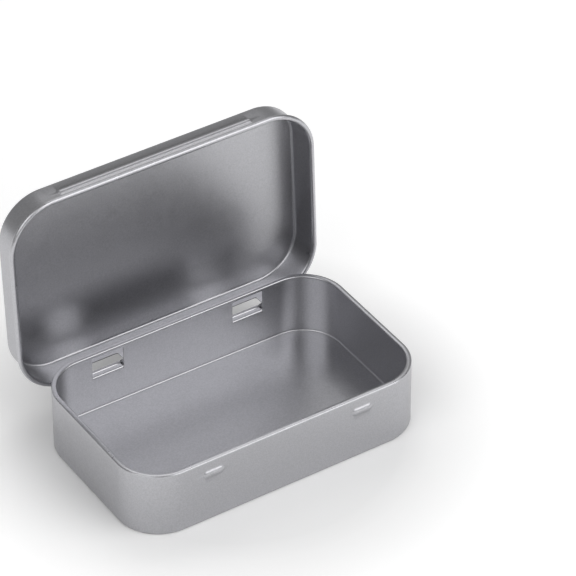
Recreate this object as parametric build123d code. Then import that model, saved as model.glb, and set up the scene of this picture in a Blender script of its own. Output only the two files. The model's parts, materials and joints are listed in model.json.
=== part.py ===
from build123d import *
import math
import os

# A hinged mint tin, drawn with its lid standing open.
# Every length is in millimetres and every angle in degrees.
# X runs along the tin, Y from the front to the hinge side, Z up from the underside.

# Sheet and base tray, measured over the outside
sheet = 0.25
base_length = 90.25
base_width = 55.3
base_height = 20.05
base_corner_radius = 12.75
foot_radius = 0.8

# Flattened curl round the mouth of the base
lip_width = 1.55
lip_tall = 0.8
lip_bevel = 0.3
lip_roll_reach = 0.42

# Two catches pressed out of the front wall
catch_spacing = 46.4
catch_length = 6.6
catch_tall = 2.3
catch_proud = 0.5
catch_below_mouth = 4.4

# Lid: the gap round the base, the skirt and the bead curled outward at its edge
lid_gap = 0.82
lid_headroom = 0.3
lid_corner_radius = 13.0
plate_radius = 1.0
skirt_tall = 9.3
bead_width = 1.55
bead_tall = 1.5

# Rib pressed out of the front skirt, which the catches snap into
rib_length = 60.5
rib_tall = 2.0
rib_proud = 0.5

# How far the sides of the catches and the rib lean
form_side_angle = 45

# Hinge line behind the rear wall, with two hinges on it
axis_behind_wall = 1.89
axis_below_edge = 0.52
hinge_spacing = 44.6
open_angle = 92.5

# Windows in the rear wall, which the tongues are folded out of
window_width = 9.8
window_below_mouth = 2.15
window_corner_radius = 0.5
sill_below_axis = 0.13

# Tongues of the base, curled over and round the pins of the lid
tongue_side_gap = 0.15
tongue_bend_radius = 0.28
tongue_valley_radius = 0.08
tongue_wrap_angle = 300
pin_radius = 0.35
pin_play = 0.1

# Knuckles that carry each pin, and the slot above it in the rear skirt
knuckle_gap = 0.35
knuckle_length = 2.0
knuckle_shoulder = 1.0
slot_above_edge = 2.65
slot_corner_radius = 0.6

# What cutting shapes run past the faces that they cut
overrun = 1.0

# Turns
quarter_turn = 90
half_turn = 180

# Worked out from the values above
base_side = base_width / 2
lid_length = base_length + 2 * (lid_gap + sheet)
lid_width = base_width + 2 * (lid_gap + sheet)
lid_side = lid_width / 2
lid_top = base_height + lid_headroom + sheet
lid_edge = lid_top - skirt_tall
catch_height = base_height - catch_below_mouth
axis_y = base_side + axis_behind_wall
axis_height = lid_edge - axis_below_edge
hinge_axis = Axis((0, axis_y, axis_height), (1, 0, 0))
window_sill = axis_height - sill_below_axis
window_top = base_height - window_below_mouth
knuckle_radius = axis_y - (lid_side - sheet)
tongue_width = window_width - 2 * tongue_side_gap
knuckle_start = tongue_width / 2 + knuckle_gap
knuckle_end = knuckle_start + knuckle_length
slot_side = knuckle_end - knuckle_shoulder


def mirror_places(spacing):
    """The two places along X that lie a spacing apart."""
    return (-spacing / 2, spacing / 2)


def block(x_range, y_range, z_range):
    """A box from its lowest to its highest value along each axis."""
    lows, highs = zip(x_range, y_range, z_range)
    return Pos(*lows) * Box(*[high - low for low, high in zip(lows, highs)], align=Align.MIN)


def carried_round(profile, length, width, corner_radius):
    """The profile carried round a rounded rectangle, with its X outward from the outline and its Y up."""
    outline = RectangleRounded(length, width, corner_radius).wire()
    upward = Vector(0, 0, 1)
    outward = (outline % 0).cross(upward)
    start = Plane(outline @ 0, x_dir=outward, z_dir=outward.cross(upward))
    return sweep(start * profile, path=outline)


def rounded_plate(length, width, corner_radius, low, thickness):
    """A flat plate with rounded corners, from a height up."""
    return Pos(0, 0, low) * extrude(RectangleRounded(length, width, corner_radius), thickness)


def pressed(shell, length, tall, proud, place):
    """The shell with a long round-ended form pressed towards the front out of its front wall."""
    form = Pos(*place) * extrude(Plane.XZ * SlotOverall(length, tall), proud, taper=form_side_angle)
    return shell + form - Pos(0, sheet, 0) * form


def base_profile():
    """The base's section from its foot, which is bevelled inside, to the end of its curled lip."""
    lip_under = base_height - lip_tall
    roll_x = lip_roll_reach - lip_width
    roll_centre = (roll_x, base_height - lip_tall / 2)
    bevel_low = (0, base_height - lip_bevel)
    bevel_high = (-lip_bevel, base_height)
    lines = [
        CenterArc((-foot_radius, foot_radius), foot_radius, 3 * quarter_turn, quarter_turn),
        Polyline((0, foot_radius), bevel_low, bevel_high, (roll_x, base_height)),
        EllipticalCenterArc(roll_centre, lip_roll_reach, lip_tall / 2, quarter_turn, arc_size=half_turn),
        Polyline((roll_x, lip_under), (-sheet, lip_under), (-sheet, foot_radius), (-foot_radius, sheet)),
        Line((-foot_radius, sheet), (-foot_radius, 0)),
    ]
    return make_face(Curve() + lines)


def lid_profile():
    """The closed lid's section from its plate, bevelled inside, down the skirt and round the bead."""
    reach = bead_width / 2
    crease_angle = math.degrees(math.acos(sheet / reach - 1))
    turn_z = skirt_tall - plate_radius
    bead_centre = (reach - sheet, bead_tall / 2)
    bead = EllipticalCenterArc(bead_centre, reach, bead_tall / 2, half_turn, arc_size=half_turn + crease_angle)
    lines = [
        CenterArc((-plate_radius, turn_z), plate_radius, 0, quarter_turn),
        Line((0, turn_z), bead @ 1),
        bead,
        Polyline(bead @ 0, (-sheet, turn_z), (-plate_radius, skirt_tall - sheet), (-plate_radius, skirt_tall)),
    ]
    return make_face(Curve() + lines)


def tongue_profile():
    """The tongue's section in Y and Z: out over the sill, up in front of the pin, over it and round it."""
    bend = tongue_bend_radius + sheet / 2
    valley = tongue_valley_radius + sheet / 2
    curl = pin_radius + pin_play + sheet / 2
    bend_centre = (base_side - sheet / 2 + bend, window_sill)
    curl_centre = (axis_y, axis_height)
    valley_above = window_sill + bend + valley - axis_height
    valley_before = math.sqrt((valley + curl) ** 2 - valley_above ** 2)
    valley_centre = (axis_y - valley_before, axis_height + valley_above)
    climb = quarter_turn - math.degrees(math.atan2(valley_above, valley_before))
    lines = []
    ends = []
    for side in (1, -1):
        over_sill = CenterArc(bend_centre, bend + side * sheet / 2, half_turn, -quarter_turn)
        upward = CenterArc(valley_centre, valley - side * sheet / 2, 3 * quarter_turn, climb)
        round_pin = CenterArc(curl_centre, curl + side * sheet / 2, quarter_turn + climb, -tongue_wrap_angle)
        lines += [over_sill, Line(over_sill @ 1, upward @ 0), upward, round_pin]
        ends.append((over_sill @ 0, round_pin @ 1))
    lines += [Line(ends[0][end], ends[1][end]) for end in (0, 1)]
    return make_face(Curve() + lines)


def base_tray():
    """The pressed base with its curled lip, catches, windows and hinge tongues."""
    inset = 2 * foot_radius
    tray = carried_round(base_profile(), base_length, base_width, base_corner_radius)
    tray += rounded_plate(base_length - inset, base_width - inset, base_corner_radius - foot_radius, 0, sheet)
    for x in mirror_places(catch_spacing):
        tray = pressed(tray, catch_length, catch_tall, catch_proud, (x, -base_side, catch_height))
    tongue = extrude(Plane.YZ * tongue_profile(), tongue_width / 2, both=True)
    window_wall = (base_side - sheet - overrun, base_side + overrun)
    for x in mirror_places(hinge_spacing):
        span = (x - window_width / 2, x + window_width / 2)
        window = block(span, window_wall, (window_sill, window_top))
        tray -= fillet(window.edges().filter_by(Axis.Y).group_by(Axis.Z)[-1], window_corner_radius)
        tray += Pos(x, 0, 0) * tongue
    return tray


def hinge_pin():
    """One pin with its two knuckles, centred along X, and the strips of skirt that carry them."""
    turned = Rot(0, quarter_turn, 0)
    centre = Pos(0, axis_y, axis_height)
    pin = centre * turned * Cylinder(pin_radius, 2 * knuckle_end)
    strip_y = (lid_side - sheet, lid_side)
    strip_z = (axis_height, lid_edge + bead_tall)
    for side in (-1, 1):
        middle = side * (knuckle_start + knuckle_end) / 2
        pin += Pos(middle, 0, 0) * centre * turned * Cylinder(knuckle_radius, knuckle_length)
        strip_x = sorted((side * slot_side, side * knuckle_end))
        pin += block(strip_x, strip_y, strip_z)
    return pin


def hinge_slot():
    """What the rear skirt loses at one hinge: its bead, and a slot with rounded upper corners."""
    skirt_wall = (lid_side - sheet - overrun, lid_side + bead_width)
    below = lid_edge - overrun
    slot = block((-slot_side, slot_side), skirt_wall, (below, lid_edge + slot_above_edge))
    slot = fillet(slot.edges().filter_by(Axis.Y).group_by(Axis.Z)[-1], slot_corner_radius)
    bead = block((-knuckle_end, knuckle_end), skirt_wall, (below, lid_edge + bead_tall))
    return slot + bead


def hinged_lid():
    """The pressed lid with its bead, rib and hinge pins, turned open about the hinge line."""
    inset = 2 * plate_radius
    lid = carried_round(lid_profile(), lid_length, lid_width, lid_corner_radius)
    plate_size = (lid_length - inset, lid_width - inset, lid_corner_radius - plate_radius)
    lid += rounded_plate(*plate_size, skirt_tall - sheet, sheet)
    lid = Pos(0, 0, lid_edge) * lid
    lid = pressed(lid, rib_length, rib_tall, rib_proud, (0, -lid_side, catch_height))
    for x in mirror_places(hinge_spacing):
        lid -= Pos(x, 0, 0) * hinge_slot()
        lid += Pos(x, 0, 0) * hinge_pin()
    return lid.rotate(hinge_axis, -open_angle)


os.makedirs("parts", exist_ok=True)
for name, make in {"base_tray": base_tray, "hinged_lid": hinged_lid}.items():
    export_step(make(), f"parts/{name}.step")
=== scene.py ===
import json
import math
from collections import namedtuple

import bmesh
import bpy
from mathutils import Matrix, Vector


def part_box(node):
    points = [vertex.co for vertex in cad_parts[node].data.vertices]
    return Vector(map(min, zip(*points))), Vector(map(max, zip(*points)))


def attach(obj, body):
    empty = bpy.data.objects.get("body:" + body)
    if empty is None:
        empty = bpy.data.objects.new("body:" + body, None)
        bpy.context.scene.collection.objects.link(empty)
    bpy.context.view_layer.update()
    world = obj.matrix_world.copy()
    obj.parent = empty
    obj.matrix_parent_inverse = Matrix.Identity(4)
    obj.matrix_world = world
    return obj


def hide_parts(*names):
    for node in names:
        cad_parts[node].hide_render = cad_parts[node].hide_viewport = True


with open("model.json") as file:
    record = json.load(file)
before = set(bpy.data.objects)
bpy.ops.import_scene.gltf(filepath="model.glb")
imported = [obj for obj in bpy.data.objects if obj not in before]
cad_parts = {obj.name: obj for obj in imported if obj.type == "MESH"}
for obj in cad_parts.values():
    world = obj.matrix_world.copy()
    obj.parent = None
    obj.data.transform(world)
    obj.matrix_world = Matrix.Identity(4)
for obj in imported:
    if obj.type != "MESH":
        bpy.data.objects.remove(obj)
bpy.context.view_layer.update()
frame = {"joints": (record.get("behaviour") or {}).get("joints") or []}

# Sizes are in millimetres and angles in degrees, and mm turns them into the scene's metres.
mm = 0.001
quarter_turn = 90
half_turn = 180

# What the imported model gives: the tray's box and the hinge line
tray_low, tray_high = (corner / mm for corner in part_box("base_tray"))
lid_joint = frame["joints"][0]
axis_y, axis_z = (value / mm for value in lid_joint["pos_m"][1:])
open_angle = max(lid_joint["range_deg"], key=abs)

# Sheet and base tray
sheet = 0.25
base_length = tray_high.x - tray_low.x
base_width = 55.3
base_height = tray_high.z
base_corner_radius = 12.75
foot_radius = 0.8

# Flattened curl round the mouth, and the band below the mouth that has its smoother finish and a lighter
# colour, which is a painted sheen
lip_width = 1.55
lip_tall = 0.8
lip_crown = 0.05
lip_band = 1.2
curl_gap = 0.1

# Catches pressed out of the front wall
catch_spacing = 46.4
catch_length = 6.6
catch_tall = 2.3
catch_proud = 0.5
catch_below_mouth = 4.4

# Lid
lid_gap = 0.82
lid_headroom = 0.3
lid_corner_radius = 13.0
plate_radius = 1.0
skirt_tall = 9.3
bead_width = 1.55
bead_tall = 1.5
bead_turn = 302

# Rib pressed out of the lid's front skirt
rib_length = 60.5
rib_tall = 2.0
rib_proud = 0.5

# Hinges
hinge_spacing = 44.6
window_width = 9.8
window_below_mouth = 2.15
window_corner_radius = 0.5
sill_below_axis = 0.13
tongue_side_gap = 0.15
tongue_bend_radius = 0.28
tongue_valley_radius = 0.08
tongue_wrap_angle = 300
pin_radius = 0.35
pin_play = 0.1
pin_turn = 350
knuckle_gap = 0.35
knuckle_length = 2.0
knuckle_shoulder = 1.0
knuckle_turn = 330
slot_above_edge = 2.65
slot_corner_radius = 0.6

# How finely the sheet is drawn
corner_steps = 24
curl_steps = 20
bend_steps = 8
plain_step = 3.0
fine_step = 0.12
flat_rings = 4
flat_ring_share = 0.9

# What counts as one place, as a sharp edge, and as a wall that faces the front or the rear
same_place = 0.001
sharp_angle = 50
facing_share = 0.999

# Tinplate: its colour, its roughness and the depth of its grain, on the walls and on the rolled edges,
# whose lighter colour there is a painted sheen
wall_finish = ((0.46, 0.46, 0.48), 0.33, 0.01)
rolled_finish_with_painted_sheen = ((0.48, 0.48, 0.5), 0.29, 0.003)

# Grain and mottle of the tinplate: their size and detail, and how far they change its colour and roughness
grain_size = 0.42
grain_detail = 2.0
mottle_size = 2.2
mottle_detail = 3.0
shade_change_share = 0.08
roughness_change = 0.02
noise_low = 0.3
noise_high = 0.7

# Floor, and its glow as a background, which starts and is full at a distance from the tin's centre, so that
# the floor is painted darker close round the tin
floor_reach = 3000
floor_shade = 0.93
floor_roughness = 0.9
floor_glow = 0.32
glow_start = 46
glow_full = 82

# Light: how bright the white surround is, and each softbox's azimuth, elevation, size and power in watts
world_light = 0.33
softbox_distance = 1000
softboxes = {
    "right_front": (29, 38, 950, 5.4),
    "left_side": (294, 44, 800, 2.9),
    "rear_above": (147, 57, 500, 1.0),
}

# Camera, at the photograph's place
camera_azimuth = -32.844
camera_elevation = 37.944
camera_roll = 0.253
camera_aim = (46.2, 43.9, 0)
camera_distance = 1097.9
camera_lens = 243.12
camera_sensor = 36
camera_near = 10
camera_far = 20000

# Worked out from the values above
half_sheet = sheet / 2
base_side = base_width / 2
lid_length = base_length + 2 * (lid_gap + sheet)
lid_width = base_width + 2 * (lid_gap + sheet)
lid_side = lid_width / 2
lid_edge = base_height + lid_headroom + sheet - skirt_tall
half_window = window_width / 2
window_sill = axis_z - sill_below_axis
window_top = base_height - window_below_mouth
catch_height = base_height - catch_below_mouth
tongue_side = half_window - tongue_side_gap
knuckle_start = tongue_side + knuckle_gap
knuckle_end = knuckle_start + knuckle_length
slot_side = knuckle_end - knuckle_shoulder

# A place on the outline of a wall, with the direction straight out of the wall
Spot = namedtuple("Spot", "x y out_x out_y")


def both_sides(spacing):
    """The two places that lie a spacing apart."""
    return (-spacing / 2, spacing / 2)


def from_hinge(x):
    """How far a place along X is from the middle of the nearer hinge."""
    return min(abs(x - centre) for centre in both_sides(hinge_spacing))


def hinge_marks(reaches):
    """The places along X at some reaches to both sides of each hinge."""
    return [x + side * reach for x in both_sides(hinge_spacing) for side in (-1, 1) for reach in reaches]


def arc(centre, radius, start, turn, steps, end_radius=None):
    """Points of an arc, or of a spiral where the radius changes on the way."""
    points = []
    for step in range(steps + 1):
        share = step / steps
        angle = math.radians(start + turn * share)
        reach = radius + ((end_radius or radius) - radius) * share
        points.append((centre[0] + reach * math.cos(angle), centre[1] + reach * math.sin(angle)))
    return points


def stops(low, high, wanted=(), step=plain_step):
    """Values from low to high, with the wanted ones among them and no gap wider than a step."""
    marks = sorted({low, high, *[value for value in wanted if low < value < high]})
    values = []
    for start, end in zip(marks, marks[1:]):
        parts = max(1, math.ceil((end - start - same_place) / step))
        values += [start + (end - start) * part / parts for part in range(parts)]
    return values + [high]


def form_stops(centre, half):
    """Fine stops across a pressed form."""
    return stops(centre - half, centre + half, step=fine_step)


def outline(length, width, corner, front_marks, rear_marks):
    """Spots round a rounded rectangle, anticlockwise from the front left, with marks along X among them."""
    run_x = length / 2 - corner
    run_y = width / 2 - corner
    sides = stops(-run_y, run_y)
    walls = [
        [Spot(x, -width / 2, 0, -1) for x in stops(-run_x, run_x, front_marks)],
        [Spot(length / 2, y, 1, 0) for y in sides],
        [Spot(x, width / 2, 0, 1) for x in reversed(stops(-run_x, run_x, rear_marks))],
        [Spot(-length / 2, y, -1, 0) for y in reversed(sides)],
    ]
    centres = [(run_x, -run_y), (run_x, run_y), (-run_x, run_y), (-run_x, -run_y)]
    path = []
    for turn, (wall, centre) in enumerate(zip(walls, centres)):
        path += wall
        for x, y in arc((0, 0), 1, (turn - 1) * quarter_turn, quarter_turn, corner_steps):
            path.append(Spot(centre[0] + corner * x, centre[1] + corner * y, x, y))
    return [
        spot
        for spot, last in zip(path, path[-1:] + path)
        if math.hypot(spot.x - last.x, spot.y - last.y) > same_place
    ]


def dome(along, across, length, tall, proud):
    """How far a long round-ended dome stands out of its wall at a place."""
    distance = math.hypot(max(0, abs(along) - (length - tall) / 2), across)
    share = max(0, 1 - distance / (tall / 2))
    return proud * share * (2 - share)


def placed(name, data):
    """A new object in the scene, which holds a mesh, a lamp or a camera."""
    thing = bpy.data.objects.new(name, data)
    bpy.context.scene.collection.objects.link(thing)
    return thing


def thicken(thing):
    """Gives a sheet its thickness, half to each side, and smooths it but for its sharp edges."""
    thick = thing.modifiers.new("thickness", "SOLIDIFY")
    thick.thickness = sheet * mm
    thick.offset = 0
    thick.use_even_offset = True
    bpy.context.view_layer.update()
    solid = bpy.data.meshes.new_from_object(thing.evaluated_get(bpy.context.evaluated_depsgraph_get()))
    thing.modifiers.clear()
    thing.data = solid
    solid.name = thing.name
    solid.shade_smooth()
    solid.set_sharp_from_angle(angle=math.radians(sharp_angle))


class Layer:
    """The middle layer of a pressed sheet, as one mesh that later gets its thickness."""

    def __init__(self, path, section, lift):
        """A column of points at each spot of the path, along a section in reach outward and height."""
        self.mesh = bmesh.new()
        self.path = path
        self.section = section
        self.lift = lift
        self.grid = [[self.outward(spot, reach, z) for reach, z in section] for spot in path]

    def point(self, x, y, z):
        """A new point, lifted as the whole layer is."""
        return self.mesh.verts.new((x, y, z + self.lift))

    def outward(self, spot, reach, z):
        """A new point at a reach outward from a spot."""
        return self.point(spot.x + reach * spot.out_x, spot.y + reach * spot.out_y, z)

    def fill(self, kept_at_rear):
        """Faces between neighbouring columns, of which the rear wall has only those that are kept."""
        ring = list(zip(self.path, self.grid))
        for (spot, column), (other, beside) in zip(ring, ring[1:] + ring[:1]):
            middle_x = (spot.x + other.x) / 2
            rear = min(spot.out_y, other.out_y) > facing_share
            for row in range(len(self.section) - 1):
                if not rear or kept_at_rear(middle_x, row):
                    self.mesh.faces.new((column[row], beside[row], beside[row + 1], column[row + 1]))

    def row(self, z):
        """The row of the section at a height on the wall."""
        return min(range(len(self.section)), key=lambda row: math.dist(self.section[row], (-half_sheet, z)))

    def rear_columns(self, one_end, other_end):
        """The rear wall's columns between two places along X: the place of each, and the columns."""
        low, high = sorted((one_end, other_end))
        found = [
            (spot.x, column)
            for spot, column in zip(self.path, self.grid)
            if spot.out_y > facing_share and low - same_place < spot.x < high + same_place
        ]
        found.sort(key=lambda item: item[0])
        return [x for x, column in found], [column for x, column in found]

    def rear_column(self, x):
        """The rear wall's column at a place along X."""
        return self.rear_columns(x, x)[1][0]

    def strip(self, places, section, first=None):
        """A strip across places along X and a section in Y and Z, which may go on from first points."""
        last = first
        for y, z in section:
            new = [self.point(x, y, z) for x in places]
            if last:
                for one in range(len(places) - 1):
                    self.mesh.faces.new((last[one], last[one + 1], new[one + 1], new[one]))
            last = new

    def fill_corner(self, corner, start, end):
        """Fills the corner of an opening out to an arc from start to end."""
        centre = start.co + end.co - corner.co
        first_arm = start.co - centre
        last_arm = end.co - centre
        last = start
        for step in range(1, bend_steps + 1):
            angle = math.radians(quarter_turn * step / bend_steps)
            new = end
            if step < bend_steps:
                arm = first_arm * math.cos(angle) + last_arm * math.sin(angle)
                new = self.mesh.verts.new(centre + arm)
            self.mesh.faces.new((corner, last, new))
            last = new

    def round_opening(self, centre_x, half, top, radius):
        """Rounds both upper corners of an opening in the rear wall."""
        top_row = self.row(top)
        under_row = self.row(top - radius)
        for side in (-1, 1):
            edge = self.rear_column(centre_x + side * half)
            inner = self.rear_column(centre_x + side * (half - radius))
            self.fill_corner(edge[top_row], edge[under_row], inner[top_row])

    def press(self, centre_x, centre_z, length, tall, proud):
        """Pushes a form out of the front wall."""
        for spot, column in zip(self.path, self.grid):
            if spot.out_y < -facing_share:
                for point in column:
                    point.co.y -= dome(spot.x - centre_x, point.co.z - centre_z, length, tall, proud)

    def flat(self, corner):
        """Rings inward from the first row, over most of its corners' radius, and a face across the rest."""
        reach, z = self.section[0]
        room = (corner + reach) * flat_ring_share
        ring = [column[0] for column in self.grid]
        for step in range(1, flat_rings + 1):
            new = [self.outward(spot, reach - room * step / flat_rings, z) for spot in self.path]
            for one in range(len(ring)):
                other = (one + 1) % len(ring)
                self.mesh.faces.new((ring[one], new[one], new[other], ring[other]))
            ring = new
        self.mesh.faces.new(ring)

    def finished(self, name, materials, rolled):
        """The sheet as an object, with the second material, smoother and painted lighter as a sheen, where
        it is rolled.
        """
        bmesh.ops.remove_doubles(self.mesh, verts=self.mesh.verts, dist=same_place)
        bmesh.ops.recalc_face_normals(self.mesh, faces=self.mesh.faces)
        for face in self.mesh.faces:
            face.material_index = int(rolled(face.calc_center_median()))
        bmesh.ops.scale(self.mesh, vec=(mm, mm, mm), verts=self.mesh.verts)
        data = bpy.data.meshes.new(name)
        self.mesh.to_mesh(data)
        self.mesh.free()
        for material in materials:
            data.materials.append(material)
        thing = placed(name, data)
        thicken(thing)
        return thing


def base_section():
    """The base's middle layer from the edge of its floor to the end of its curled lip."""
    lip_radius = lip_tall / 2
    curl_radius = lip_radius - half_sheet
    lip_middle = base_height - lip_radius
    lip_run = lip_width - 2 * lip_radius
    forms = form_stops(catch_height, catch_tall / 2)
    marks = [window_sill, window_top, window_top - window_corner_radius, *forms]
    foot = (-foot_radius, foot_radius)
    points = arc(foot, foot_radius - half_sheet, 3 * quarter_turn, quarter_turn, bend_steps)
    points += [(-half_sheet, z) for z in stops(foot_radius, lip_middle, marks)[1:]]
    points += arc((-lip_radius, lip_middle), curl_radius, 0, quarter_turn, bend_steps)[1:]
    for step in range(1, bend_steps):
        share = step / bend_steps
        crown = 4 * lip_crown * share * (1 - share)
        points.append((-lip_radius - lip_run * share, base_height - half_sheet + crown))
    points += arc((-lip_radius - lip_run, lip_middle), curl_radius, quarter_turn, half_turn, 2 * bend_steps)
    points.append((-sheet - curl_gap, lip_middle - curl_radius))
    return points


def tongue_section():
    """The tongue's middle layer in Y and Z: out over the sill, up before the pin, over it and round it."""
    bend = tongue_bend_radius + half_sheet
    valley = tongue_valley_radius + half_sheet
    curl = pin_radius + pin_play + half_sheet
    valley_above = window_sill + bend + valley - axis_z
    valley_before = math.sqrt((valley + curl) ** 2 - valley_above ** 2)
    valley_centre = (axis_y - valley_before, axis_z + valley_above)
    climb = quarter_turn - math.degrees(math.atan2(valley_above, valley_before))
    over = arc((base_side - half_sheet + bend, window_sill), bend, half_turn, -quarter_turn, bend_steps)
    upward = arc(valley_centre, valley, 3 * quarter_turn, climb, bend_steps)
    round_pin = arc((axis_y, axis_z), curl, quarter_turn + climb, -tongue_wrap_angle, 2 * curl_steps)
    return over[1:] + upward + round_pin[1:]


def base_tray(materials):
    """The pressed base: floor, wall, curled lip, catches, windows and hinge tongues."""
    catches = [mark for x in both_sides(catch_spacing) for mark in form_stops(x, catch_length / 2)]
    hinges = hinge_marks((tongue_side, half_window, half_window - window_corner_radius))
    path = outline(base_length, base_width, base_corner_radius, catches, hinges)
    layer = Layer(path, base_section(), 0)
    sill = layer.row(window_sill)
    top = layer.row(window_top)
    layer.fill(lambda x, row: from_hinge(x) > half_window or not sill <= row < top)
    layer.flat(base_corner_radius)
    for x in both_sides(catch_spacing):
        layer.press(x, catch_height, catch_length, catch_tall, catch_proud)
    for x in both_sides(hinge_spacing):
        places, columns = layer.rear_columns(x - tongue_side, x + tongue_side)
        layer.strip(places, tongue_section(), [column[sill] for column in columns])
        layer.round_opening(x, half_window, window_top, window_corner_radius)

    def rolled(centre):
        return centre.z > base_height - lip_band or centre.y > base_side

    return layer.finished("tray_sheet", materials, rolled)


def lid_section():
    """The shut lid's middle layer: plate, skirt and bead, with heights from the foot of the bead."""
    forms = form_stops(catch_height - lid_edge, rib_tall / 2)
    marks = [slot_above_edge, slot_above_edge - slot_corner_radius, *forms]
    turn_z = skirt_tall - plate_radius
    bend = plate_radius - half_sheet
    points = arc((-plate_radius, turn_z), bend, quarter_turn, -quarter_turn, bend_steps)
    points += [(-half_sheet, z) for z in reversed(stops(bead_tall / 2, turn_z, marks)[:-1])]
    curl_radius = bead_width / 2 - half_sheet
    curl = arc((bead_width / 2 - sheet, 0), curl_radius, half_turn, bead_turn, curl_steps)[1:]
    flattening_share = (bead_tall / 2 - half_sheet) / curl_radius
    points += [(reach, bead_tall / 2 + z * flattening_share) for reach, z in curl]
    return points


def lid_hinge(layer, x, bead_row):
    """One hinge of the lid: two knuckles, the legs of the skirt that run into them, and the rolled pin."""
    centre = (axis_y, axis_z - lid_edge)
    start_radius = axis_y - (lid_side - half_sheet)
    roll = arc(centre, start_radius, half_turn, knuckle_turn, curl_steps, pin_radius + half_sheet)
    for side in (-1, 1):
        places, columns = layer.rear_columns(x + side * slot_side, x + side * knuckle_end)
        layer.strip(places, roll[:1], [column[bead_row] for column in columns])
        places, columns = layer.rear_columns(x + side * knuckle_start, x + side * knuckle_end)
        layer.strip(places, roll)
    pin = arc(centre, pin_radius - half_sheet, 0, pin_turn, curl_steps)
    layer.strip(stops(x - knuckle_end, x + knuckle_end), pin)


def hinged_lid(materials):
    """The pressed lid with its plate, skirt, bead, rib and hinges, made shut and then turned open."""
    rib_run = rib_length / 2 - rib_tall
    rib_ends = [x for x in form_stops(0, rib_length / 2) if abs(x) > rib_run]
    hinges = hinge_marks((knuckle_start, slot_side, knuckle_end, slot_side - slot_corner_radius))
    path = outline(lid_length, lid_width, lid_corner_radius, rib_ends, hinges)
    layer = Layer(path, lid_section(), lid_edge)
    slot_row = layer.row(slot_above_edge)
    bead_row = layer.row(bead_tall / 2)

    def kept(x, row):
        in_slot = from_hinge(x) < slot_side and row >= slot_row
        in_gap = from_hinge(x) < knuckle_end and row >= bead_row
        return not in_slot and not in_gap

    layer.fill(kept)
    layer.flat(lid_corner_radius)
    layer.press(0, catch_height, rib_length, rib_tall, rib_proud)
    for x in both_sides(hinge_spacing):
        layer.round_opening(x, slot_side, slot_above_edge, slot_corner_radius)
        lid_hinge(layer, x, bead_row)
    lid = layer.finished("lid_sheet", materials, lambda centre: centre.z < lid_edge + bead_tall)
    hinge_line = Vector((0, axis_y, axis_z)) * mm
    opened = Matrix.Rotation(math.radians(-open_angle), 4, "X")
    lid.data.transform(Matrix.Translation(hinge_line) @ opened @ Matrix.Translation(-hinge_line))
    return lid


def new_material(name):
    """A new material, its node tree and its surface shader."""
    material = bpy.data.materials.new(name)
    material.use_nodes = True
    return material, material.node_tree, material.node_tree.nodes["Principled BSDF"]


def noise(tree, place, size, detail):
    """A noise whose grains are about a size across."""
    node = tree.nodes.new("ShaderNodeTexNoise")
    node.inputs["Scale"].default_value = 1 / (size * mm)
    node.inputs["Detail"].default_value = detail
    tree.links.new(place, node.inputs["Vector"])
    return node.outputs["Fac"]


def spread(tree, value, low, high, start=noise_low, end=noise_high):
    """Turns a value that goes from start to end, such as a noise, into one from low to high."""
    node = tree.nodes.new("ShaderNodeMapRange")
    node.inputs["From Min"].default_value = start
    node.inputs["From Max"].default_value = end
    node.inputs["To Min"].default_value = low
    node.inputs["To Max"].default_value = high
    tree.links.new(value, node.inputs["Value"])
    return node.outputs["Result"]


def combined(tree, operation, first, second):
    """What a math operation makes of two values."""
    node = tree.nodes.new("ShaderNodeMath")
    node.operation = operation
    tree.links.new(first, node.inputs[0])
    tree.links.new(second, node.inputs[1])
    return node.outputs["Value"]


def tinplate(name, shade, roughness, grain_depth):
    """Satin tinplate: a fine even grain in its colour and relief, and a soft mottle in its roughness."""
    material, tree, surface = new_material(name)
    place = tree.nodes.new("ShaderNodeTexCoord").outputs["Object"]
    grain = noise(tree, place, grain_size, grain_detail)
    mottle = noise(tree, place, mottle_size, mottle_detail)
    surface.inputs["Metallic"].default_value = 1
    tint = tree.nodes.new("ShaderNodeMix")
    tint.data_type = "RGBA"
    tint.inputs["A"].default_value = (*[channel * (1 - shade_change_share) for channel in shade], 1)
    tint.inputs["B"].default_value = (*[channel * (1 + shade_change_share) for channel in shade], 1)
    tree.links.new(spread(tree, grain, 0, 1), tint.inputs["Factor"])
    tree.links.new(tint.outputs["Result"], surface.inputs["Base Color"])
    varied = spread(tree, mottle, roughness - roughness_change, roughness + roughness_change)
    tree.links.new(varied, surface.inputs["Roughness"])
    bump = tree.nodes.new("ShaderNodeBump")
    bump.inputs["Strength"].default_value = 1
    bump.inputs["Distance"].default_value = grain_depth * mm
    tree.links.new(grain, bump.inputs["Height"])
    tree.links.new(bump.outputs["Normal"], surface.inputs["Normal"])
    return material


def background_rays(tree):
    """1 for the rays that show a background, straight, in metal or through glass, and 0 for its light."""
    rays = tree.nodes.new("ShaderNodeLightPath").outputs
    shown = rays["Is Camera Ray"]
    for kind in ("Is Glossy Ray", "Is Transmission Ray"):
        shown = combined(tree, "MAXIMUM", shown, rays[kind])
    return shown


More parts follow.
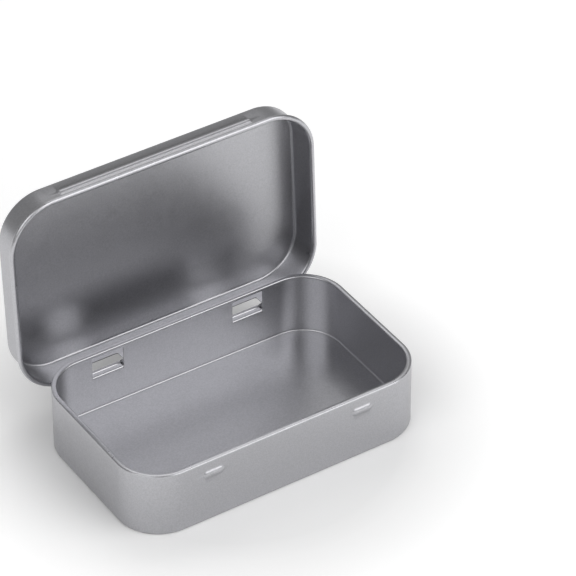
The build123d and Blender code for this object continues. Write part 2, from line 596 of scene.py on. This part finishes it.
def floor():
    """A white floor, which keeps the tin's shadow, glows only further off and so is painted darker close
    round the tin, and is seen as pure white further off.
    """
    reach = floor_reach * mm
    corners = [(-reach, -reach, 0), (reach, -reach, 0), (reach, reach, 0), (-reach, reach, 0)]
    data = bpy.data.meshes.new("floor")
    data.from_pydata(corners, [], [(0, 1, 2, 3)])
    thing = placed("floor", data)
    material, tree, surface = new_material("white_floor")
    surface.inputs["Base Color"].default_value = (floor_shade, floor_shade, floor_shade, 1)
    surface.inputs["Roughness"].default_value = floor_roughness
    surface.inputs["Specular IOR Level"].default_value = 0
    surface.inputs["Emission Color"].default_value = (1, 1, 1, 1)
    away = tree.nodes.new("ShaderNodeVectorMath")
    away.operation = "LENGTH"
    tree.links.new(tree.nodes.new("ShaderNodeTexCoord").outputs["Object"], away.inputs[0])
    # The glow fades out towards the tin, which leaves painted shade round it
    glow = spread(tree, away.outputs["Value"], 0, floor_glow, glow_start * mm, glow_full * mm)
    seen_glow = combined(tree, "MULTIPLY", background_rays(tree), glow)
    tree.links.new(seen_glow, surface.inputs["Emission Strength"])
    data.materials.append(material)


def direction(azimuth, elevation):
    """The unit vector at an azimuth, counted from the front towards the right, and an elevation."""
    turn = math.radians(azimuth)
    rise = math.radians(elevation)
    return Vector((math.sin(turn) * math.cos(rise), -math.cos(turn) * math.cos(rise), math.sin(rise)))


def softbox(name, azimuth, elevation, size, power):
    """A square area lamp in a direction from the tin, turned towards it."""
    towards = direction(azimuth, elevation)
    lamp = bpy.data.lights.new(name, "AREA")
    lamp.shape = "SQUARE"
    lamp.size = size * mm
    lamp.energy = power
    thing = placed(name, lamp)
    thing.location = towards * softbox_distance * mm
    thing.rotation_euler = (-towards).to_track_quat("-Z", "Y").to_euler()


def studio():
    """A white surround and the softboxes."""
    world = bpy.data.worlds.new("studio")
    bpy.context.scene.world = world
    world.use_nodes = True
    background = world.node_tree.nodes["Background"]
    background.inputs["Color"].default_value = (1, 1, 1, 1)
    background.inputs["Strength"].default_value = world_light
    for name, values in softboxes.items():
        softbox(name, *values)


def camera():
    """The camera, turned to its aim."""
    data = bpy.data.cameras.new("camera")
    data.lens = camera_lens
    data.sensor_width = camera_sensor
    data.clip_start = camera_near * mm
    data.clip_end = camera_far * mm
    thing = placed("camera", data)
    back = direction(camera_azimuth, camera_elevation)
    place = Matrix.Translation((Vector(camera_aim) + back * camera_distance) * mm)
    upright = (-back).to_track_quat("-Z", "Y").to_matrix().to_4x4()
    roll = Matrix.Rotation(math.radians(-camera_roll), 4, "Z")
    thing.matrix_world = place @ upright @ roll
    bpy.context.scene.camera = thing


bpy.context.scene.view_settings.view_transform = "Standard"
# The second tinplate, on the rolled parts, is a lighter copy of the first: a painted sheen, besides its
# smoother finish
finishes = [tinplate("tinplate", *wall_finish), tinplate("rolled_tinplate_painted_sheen", *rolled_finish_with_painted_sheen)]
tray = base_tray(finishes)
lid = hinged_lid(finishes)
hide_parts("base_tray")
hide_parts("hinged_lid")
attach(tray, "base")
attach(lid, "lid")
floor()
studio()
camera()
